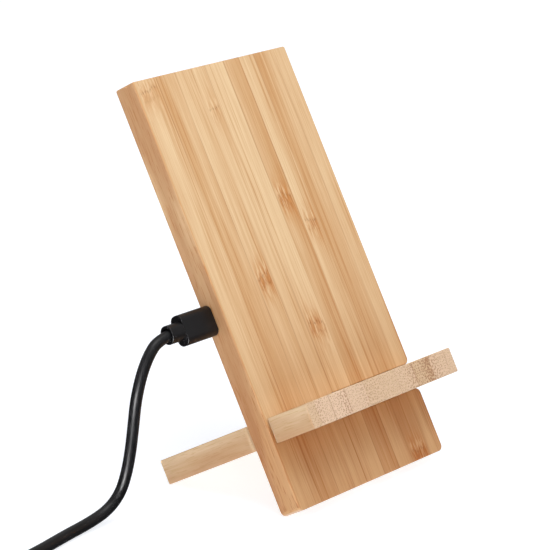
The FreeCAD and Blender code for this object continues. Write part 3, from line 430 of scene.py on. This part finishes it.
# Points of the cable's route in millimetres, from inside the plug's neck to the coil, and from the coil
# to the far end.
CORD_EXIT = (-61.5, 1.852, 63.525)
CORD_ROUTE = [
    (-67.8, 1.8, 62.6),
    (-71.2, 1.8, 60.0),
    (-73.9, 1.9, 56.4),
    (-76.3, 2.1, 51.5),
    (-77.9, 2.9, 43.8),
    (-77.0, 4.9, 34.8),
    (-75.8, 7.3, 25.6),
    (-75.4, 9.7, 16.6),
    (-77.0, 11.3, 9.4),
    (-81.9, 12.6, 4.5),
    (-90.8, 12.9, 2.5),
    (-103.5, 11.8, 2.05),
    (-117.5, 9.2, 2.05),
    (-127.5, 7.9, 2.05),
    (-137.5, 7.9, 2.2),
    (-148.0, 10.2, 2.5),
]
CORD_TAIL = [
    (-158.0, 10.5, 6.4),
    (-167.0, 10.9, 6.1),
    (-177.0, 10.6, 4.5),
    (-185.0, 10.8, 4.1),
]
COIL_CENTRE = (-153.0, 37.4)
COIL_TURNS = 6
COIL_SPACING = 4.1
COIL_INNER = 14.85         # radius of the innermost turn's centre line
COIL_SOFTENING = 0.2       # in turns, rounds off the change from inwards to outwards
POINTS_PER_TURN = 16
LAYER_HEIGHTS = (2.5, 6.5)
LAYER_CHANGE = (2.85, 3.15)        # in turns, the climb from the lower layer to the upper


def coil_points():
    """Two flat spirals, clockwise from above: inwards on the floor, then outwards on top of it."""
    points = []
    steps = COIL_TURNS * POINTS_PER_TURN
    # A smooth curve passes inside its control points, so those stand a little further out.
    swell = 4 / (3 + math.cos(2 * math.pi / POINTS_PER_TURN))
    for step in range(1, steps):
        turns = step / POINTS_PER_TURN
        from_middle = math.hypot(turns - COIL_TURNS / 2, COIL_SOFTENING)
        radius = (COIL_INNER + COIL_SPACING * from_middle) * swell
        angle = -math.pi / 2 - 2 * math.pi * turns
        climb = (turns - LAYER_CHANGE[0]) / (LAYER_CHANGE[1] - LAYER_CHANGE[0])
        climb = min(1.0, max(0.0, climb))
        height = LAYER_HEIGHTS[0] + (LAYER_HEIGHTS[1] - LAYER_HEIGHTS[0]) * climb
        points.append((COIL_CENTRE[0] + radius * math.cos(angle),
                       COIL_CENTRE[1] + radius * math.sin(angle), height))
    return points


def sheath():
    """Satin black cable sheath, finely pored, with faint patches of gloss."""
    recipe = Recipe("cord_sheath")
    place = recipe.place()
    pores = recipe.noise(place, 2.2, 3.0, 0.6)
    patches = recipe.noise(place, 0.08, 2.0)
    recipe.bump(pores, 0.006 * MM)
    tint = recipe.mix(rgb(17, 17, 18), rgb(23, 23, 25), recipe.fade(patches, 0.3, 0.7))
    rough = recipe.math("MULTIPLY_ADD", patches, 0.12, 0.34)
    return recipe.finish(Base_Color=tint, Roughness=rough, Specular_IOR_Level=0.3)


def build_cord():
    curve = bpy.data.curves.new("cable", "CURVE")
    curve.dimensions = "3D"
    curve.bevel_depth = CORD_DIAMETER / 2
    curve.bevel_resolution = 6
    curve.use_fill_caps = True
    spline = curve.splines.new("NURBS")
    points = [CORD_EXIT] + CORD_ROUTE + coil_points() + CORD_TAIL
    spline.points.add(len(points) - 1)
    for point, place in zip(spline.points, points):
        point.co = (*(value * MM for value in place), 1.0)
    spline.order_u = 3
    spline.use_endpoint_u = True
    spline.resolution_u = 6
    cable = bpy.data.objects.new("cable_cord", curve)
    bpy.context.scene.collection.objects.link(cable)
    curve.materials.append(sheath())
    return cable


cable = build_cord()
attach(cable, "cable")
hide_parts("charging_cord", "cord_coil", "cord_tail")


# ---------------------------------------------------------------- stage, light and camera

FLOOR_SIZE = 12.0
FLOOR_COLOUR = (0.38, 0.4, 0.44, 1)
FLOOR_GLOW = (0.96, 0.975, 1, 1)
FLOOR_GLOW_STRENGTH = 0.79


def flat_piece(name, width, height, material):
    """A rectangle about its own middle, square to its Z axis, not yet in the scene."""
    mesh = bpy.data.meshes.new(name)
    right, top = width / 2, height / 2
    mesh.from_pydata([(-right, -top, 0), (right, -top, 0), (right, top, 0), (-right, top, 0)], [],
                     [(0, 1, 2, 3)])
    mesh.materials.append(material)
    return bpy.data.objects.new(name, mesh)


def floor():
    white = Recipe("studio_white").finish(Base_Color=FLOOR_COLOUR, Roughness=0.9,
                                          Emission_Color=FLOOR_GLOW,
                                          Emission_Strength=FLOOR_GLOW_STRENGTH)
    piece = flat_piece("studio_floor", FLOOR_SIZE, FLOOR_SIZE, white)
    bpy.context.scene.collection.objects.link(piece)
    # Polished parts don't mirror the white floor, as when dark flags stand round a product set. The
    # card for the cable's gleam is below the floor, which doesn't hide it from them.
    piece.visible_glossy = False


def studio_air():
    """Dim close to the horizon, brighter overhead."""
    world = bpy.data.worlds.new("studio_air")
    world.use_nodes = True
    tree = world.node_tree
    source = tree.nodes.new("ShaderNodeTexCoord")
    split = tree.nodes.new("ShaderNodeSeparateXYZ")
    ramp = tree.nodes.new("ShaderNodeMapRange")
    ramp.interpolation_type = "SMOOTHSTEP"
    for name, value in (("From Min", -0.15), ("From Max", 0.45), ("To Min", 0.08), ("To Max", 0.5)):
        ramp.inputs[name].default_value = value
    tree.links.new(source.outputs["Generated"], split.inputs[0])
    tree.links.new(split.outputs["Z"], ramp.inputs["Value"])
    tree.links.new(ramp.outputs[0], tree.nodes["Background"].inputs["Strength"])
    tree.nodes["Background"].inputs["Color"].default_value = (1, 1, 1, 1)
    bpy.context.scene.world = world


def aim(thing, place, target):
    """Put a light or card into the scene with its -Z towards the target."""
    thing.location = place
    thing.rotation_euler = (Vector(target) - Vector(place)).to_track_quat("-Z", "Y").to_euler()
    bpy.context.scene.collection.objects.link(thing)


def softbox(name, place, target, width, height, watts):
    light = bpy.data.lights.new(name, "AREA")
    light.shape = "RECTANGLE"
    light.size = width
    light.size_y = height
    light.energy = watts
    aim(bpy.data.objects.new(name, light), place, target)


def bright_card(name, place, target, width, height, strength):
    """A glowing card that shows only as a gleam in polished surfaces."""
    glow = Recipe(name).finish(Base_Color=(0, 0, 0, 1), Emission_Color=(1, 1, 1, 1),
                               Emission_Strength=strength)
    glow.cycles.emission_sampling = "NONE"
    piece = flat_piece(name, width, height, glow)
    aim(piece, place, target)
    piece.visible_camera = False
    piece.visible_diffuse = False
    piece.visible_shadow = False
    piece.visible_transmission = False


CAMERA_PLACE = (-0.7355, -0.5921, 0.3374)
CAMERA_DROP = 15.751       # degrees below level
CAMERA_BEARING = 50.847    # degrees from +Y towards +X
SENSOR_WIDTH = 36.0
FOCAL_LENGTH = 184.0


def camera():
    lens = bpy.data.cameras.new("camera")
    lens.sensor_width = SENSOR_WIDTH
    lens.lens = FOCAL_LENGTH
    lens.clip_start = 0.01
    eye = bpy.data.objects.new("camera", lens)
    eye.location = CAMERA_PLACE
    eye.rotation_euler = (math.radians(90 - CAMERA_DROP), 0, math.radians(-CAMERA_BEARING))
    bpy.context.scene.collection.objects.link(eye)
    bpy.context.scene.camera = eye


floor()
studio_air()
softbox("overhead", (-0.15, -0.35, 1.5), (0, 0, 0.06), width=1.1, height=1.1, watts=13.0)
softbox("left_fill", (-1.25, -0.5, 0.42), (-0.05, 0, 0.05), width=0.5, height=0.5, watts=3.3)
bright_card("cable_gleam", (-1.1, -0.38, -0.37), (-0.075, 0, 0.04), width=0.46, height=0.6,
            strength=38.0)
camera()
bpy.context.scene.view_settings.view_transform = "Standard"
